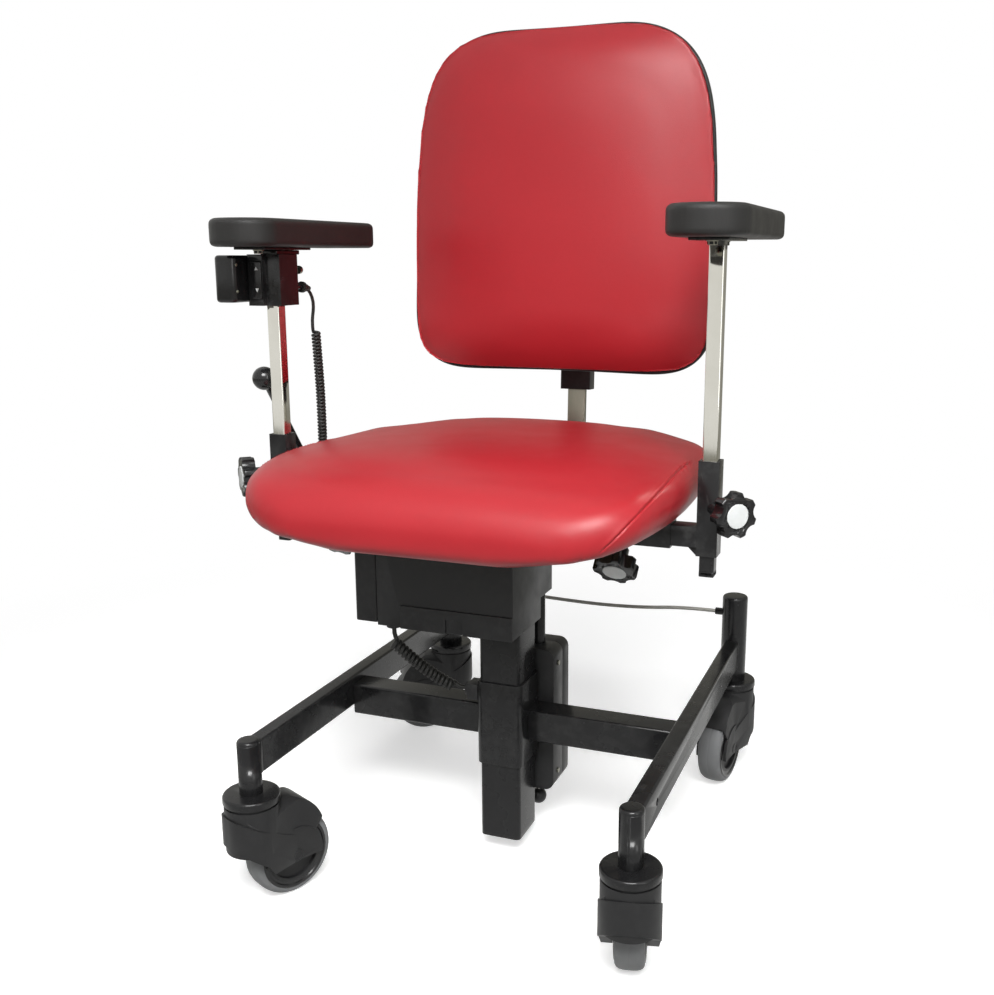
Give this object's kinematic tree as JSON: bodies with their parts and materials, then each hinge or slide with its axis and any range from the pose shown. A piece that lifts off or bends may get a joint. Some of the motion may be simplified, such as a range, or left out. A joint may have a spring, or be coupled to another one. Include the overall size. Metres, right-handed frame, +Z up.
{
  "type": "treatment chair",
  "caption": "Mobile treatment chair with padded seat and back, powered lifting column, braked base on swivel casters and height- and width-adjustable armrests.",
  "frame": {"origin": "on the floor, midway between the four caster posts", "axes": "+Z up, the sitter faces -Y, +X to the sitter's left"},
  "size_m": [0.6208, 0.6034, 1.0093],
  "materials": {
    "black_paint": "semi-gloss powder coat",
    "black_plastic": "fine moulded grain",
    "chrome_tube": "polished chrome",
    "satin_steel": "satin",
    "red_vinyl": "fine-grained vinyl, soft sheen",
    "pad_foam": "integral-skin foam",
    "tyre_grey": "matte grey tread",
    "plywood": "bare board",
    "cord_sheath": "smooth sheath"
  },
  "bodies": {
    "base": {"front_posts": "black_paint", "rear_posts": "black_paint", "side_rail_left": "black_paint", "side_rail_right": "black_paint", "cross_bars": "black_paint", "column_sleeve": "black_paint", "sleeve_glides": "black_plastic", "actuator_housing": "black_plastic", "actuator_cover": "black_plastic", "drive_motor": "satin_steel", "actuator_screws": "satin_steel", "caster_stems": "black_paint", "brake_cable": "cord_sheath", "motor_plug": "black_plastic", "motor_cord": "cord_sheath"},
    "release": {"release_knob": "black_plastic"},
    "lift": {"column_tube": "black_paint", "lift_head": "black_paint", "seat_pan": "plywood", "seat_cushion": "red_vinyl", "push_rod": "satin_steel", "control_box": "black_plastic", "battery_pack": "black_plastic", "arm_receiver": "black_paint", "back_bracket": "black_paint"},
    "back_bar": {"back_bar": "satin_steel"},
    "back": {"back_sleeve": "black_plastic", "back_shell": "black_plastic", "back_cushion": "red_vinyl"},
    "back_knob": {"back_knob": "black_plastic"},
    "bracket_left": {"arm_bracket_left": "black_paint", "lever_bracket": "black_paint"},
    "bracket_right": {"arm_bracket_right": "black_paint"},
    "arm_left": {"arm_post_left": "chrome_tube", "arm_fittings_left": "black_paint", "arm_pad_left": "pad_foam", "handset_clamp": "black_plastic", "handset_body": "black_plastic", "handset_cord": "cord_sheath"},
    "arm_right": {"arm_post_right": "chrome_tube", "arm_fittings_right": "black_paint", "arm_pad_right": "pad_foam"},
    "height_knob_left": {"height_knob_left": "black_plastic"},
    "height_knob_right": {"height_knob_right": "black_plastic"},
    "width_knob_left": {"width_knob_left": "black_plastic"},
    "width_knob_right": {"width_knob_right": "black_plastic"},
    "brake_lever": {"brake_lever": "black_plastic"},
    "rocker": {"handset_rocker": "black_plastic"},
    "caster_front_left": {"caster_fork_front_left": "black_plastic"},
    "wheel_front_left": {"caster_hub_front_left": "black_plastic", "caster_tyre_front_left": "tyre_grey"},
    "caster_front_right": {"caster_fork_front_right": "black_plastic"},
    "wheel_front_right": {"caster_hub_front_right": "black_plastic", "caster_tyre_front_right": "tyre_grey"},
    "caster_rear_left": {"caster_fork_rear_left": "black_plastic"},
    "wheel_rear_left": {"caster_hub_rear_left": "black_plastic", "caster_tyre_rear_left": "tyre_grey"},
    "caster_rear_right": {"caster_fork_rear_right": "black_plastic"},
    "wheel_rear_right": {"caster_hub_rear_right": "black_plastic", "caster_tyre_rear_right": "tyre_grey"}
  },
  "joints": [
    {"name": "lift", "type": "slide", "parent": "base", "child": "lift", "axis": [0, 0, 1], "range_m": [0, 0.14], "deforming": ["motor_cord"]},
    {"name": "release_pull", "type": "slide", "parent": "base", "child": "release", "axis": [0, 0, -1], "range_m": [0, 0.006], "stiffness_N_per_m": 900, "springref_m": -0.004},
    {"name": "back_recline", "type": "hinge", "parent": "lift", "child": "back_bar", "pos_m": [0, 0.12, 0.44], "axis": [-1, 0, 0], "range_deg": [-4, 16]},
    {"name": "back_height", "type": "slide", "parent": "back_bar", "child": "back", "axis": [0, 0.0471, 0.9989], "range_m": [-0.03, 0.06]},
    {"name": "back_knob_turn", "type": "hinge", "parent": "back", "child": "back_knob", "pos_m": [0, 0.23402, 0.5948], "axis": [0, 0.9989, -0.0471], "continuous": true},
    {"name": "arm_width_left", "type": "slide", "parent": "lift", "child": "bracket_left", "axis": [-1, 0, 0], "range_m": [0, 0.06]},
    {"name": "arm_height_left", "type": "slide", "parent": "bracket_left", "child": "arm_left", "axis": [0, 0, 1], "range_m": [-0.05, 0.08], "deforming": ["handset_cord"]},
    {"name": "height_knob_left_turn", "type": "hinge", "parent": "bracket_left", "child": "height_knob_left", "pos_m": [-0.258, -0.116, 0.473], "axis": [-0.7071, -0.7071, 0], "continuous": true},
    {"name": "width_knob_left_turn", "type": "hinge", "parent": "lift", "child": "width_knob_left", "pos_m": [-0.167, -0.116, 0.441], "axis": [0, -0.7071, -0.7071], "continuous": true},
    {"name": "arm_width_right", "type": "slide", "parent": "lift", "child": "bracket_right", "axis": [1, 0, 0], "range_m": [0, 0.06]},
    {"name": "arm_height_right", "type": "slide", "parent": "bracket_right", "child": "arm_right", "axis": [0, 0, 1], "range_m": [-0.05, 0.08]},
    {"name": "height_knob_right_turn", "type": "hinge", "parent": "bracket_right", "child": "height_knob_right", "pos_m": [0.258, -0.116, 0.473], "axis": [0.7071, -0.7071, 0], "continuous": true},
    {"name": "width_knob_right_turn", "type": "hinge", "parent": "lift", "child": "width_knob_right", "pos_m": [0.167, -0.116, 0.441], "axis": [0, -0.7071, -0.7071], "continuous": true},
    {"name": "brake_lever_swing", "type": "hinge", "parent": "bracket_left", "child": "brake_lever", "pos_m": [-0.2813, -0.031, 0.473], "axis": [-1, 0, 0], "range_deg": [0, 50]},
    {"name": "rocker_tilt", "type": "hinge", "parent": "arm_left", "child": "rocker", "pos_m": [-0.27, -0.1335, 0.701], "axis": [1, 0, 0], "range_deg": [-6, 6], "stiffness_Nm_per_rad": 0.4},
    {"name": "swivel_front_left", "type": "hinge", "parent": "base", "child": "caster_front_left", "pos_m": [-0.222, -0.268, 0.12], "axis": [0, 0, 1], "continuous": true},
    {"name": "wheel_spin_front_left", "type": "hinge", "parent": "caster_front_left", "child": "wheel_front_left", "pos_m": [-0.20383, -0.22903, 0.05], "axis": [-0.9063, 0.4226, 0], "continuous": true},
    {"name": "swivel_front_right", "type": "hinge", "parent": "base", "child": "caster_front_right", "pos_m": [0.222, -0.268, 0.12], "axis": [0, 0, 1], "continuous": true},
    {"name": "wheel_spin_front_right", "type": "hinge", "parent": "caster_front_right", "child": "wheel_front_right", "pos_m": [0.21233, -0.2261, 0.05], "axis": [-0.9744, -0.225, 0], "continuous": true},
    {"name": "swivel_rear_left", "type": "hinge", "parent": "base", "child": "caster_rear_left", "pos_m": [-0.222, 0.268, 0.12], "axis": [0, 0, 1], "continuous": true},
    {"name": "wheel_spin_rear_left", "type": "hinge", "parent": "caster_rear_left", "child": "wheel_rear_left", "pos_m": [-0.25806, 0.24458, 0.05], "axis": [0.5446, -0.8387, 0], "continuous": true},
    {"name": "swivel_rear_right", "type": "hinge", "parent": "base", "child": "caster_rear_right", "pos_m": [0.222, 0.268, 0.12], "axis": [0, 0, 1], "continuous": true},
    {"name": "wheel_spin_rear_right", "type": "hinge", "parent": "caster_rear_right", "child": "wheel_rear_right", "pos_m": [0.21527, 0.22553, 0.05], "axis": [0.9877, -0.1564, 0], "continuous": true}
  ]
}
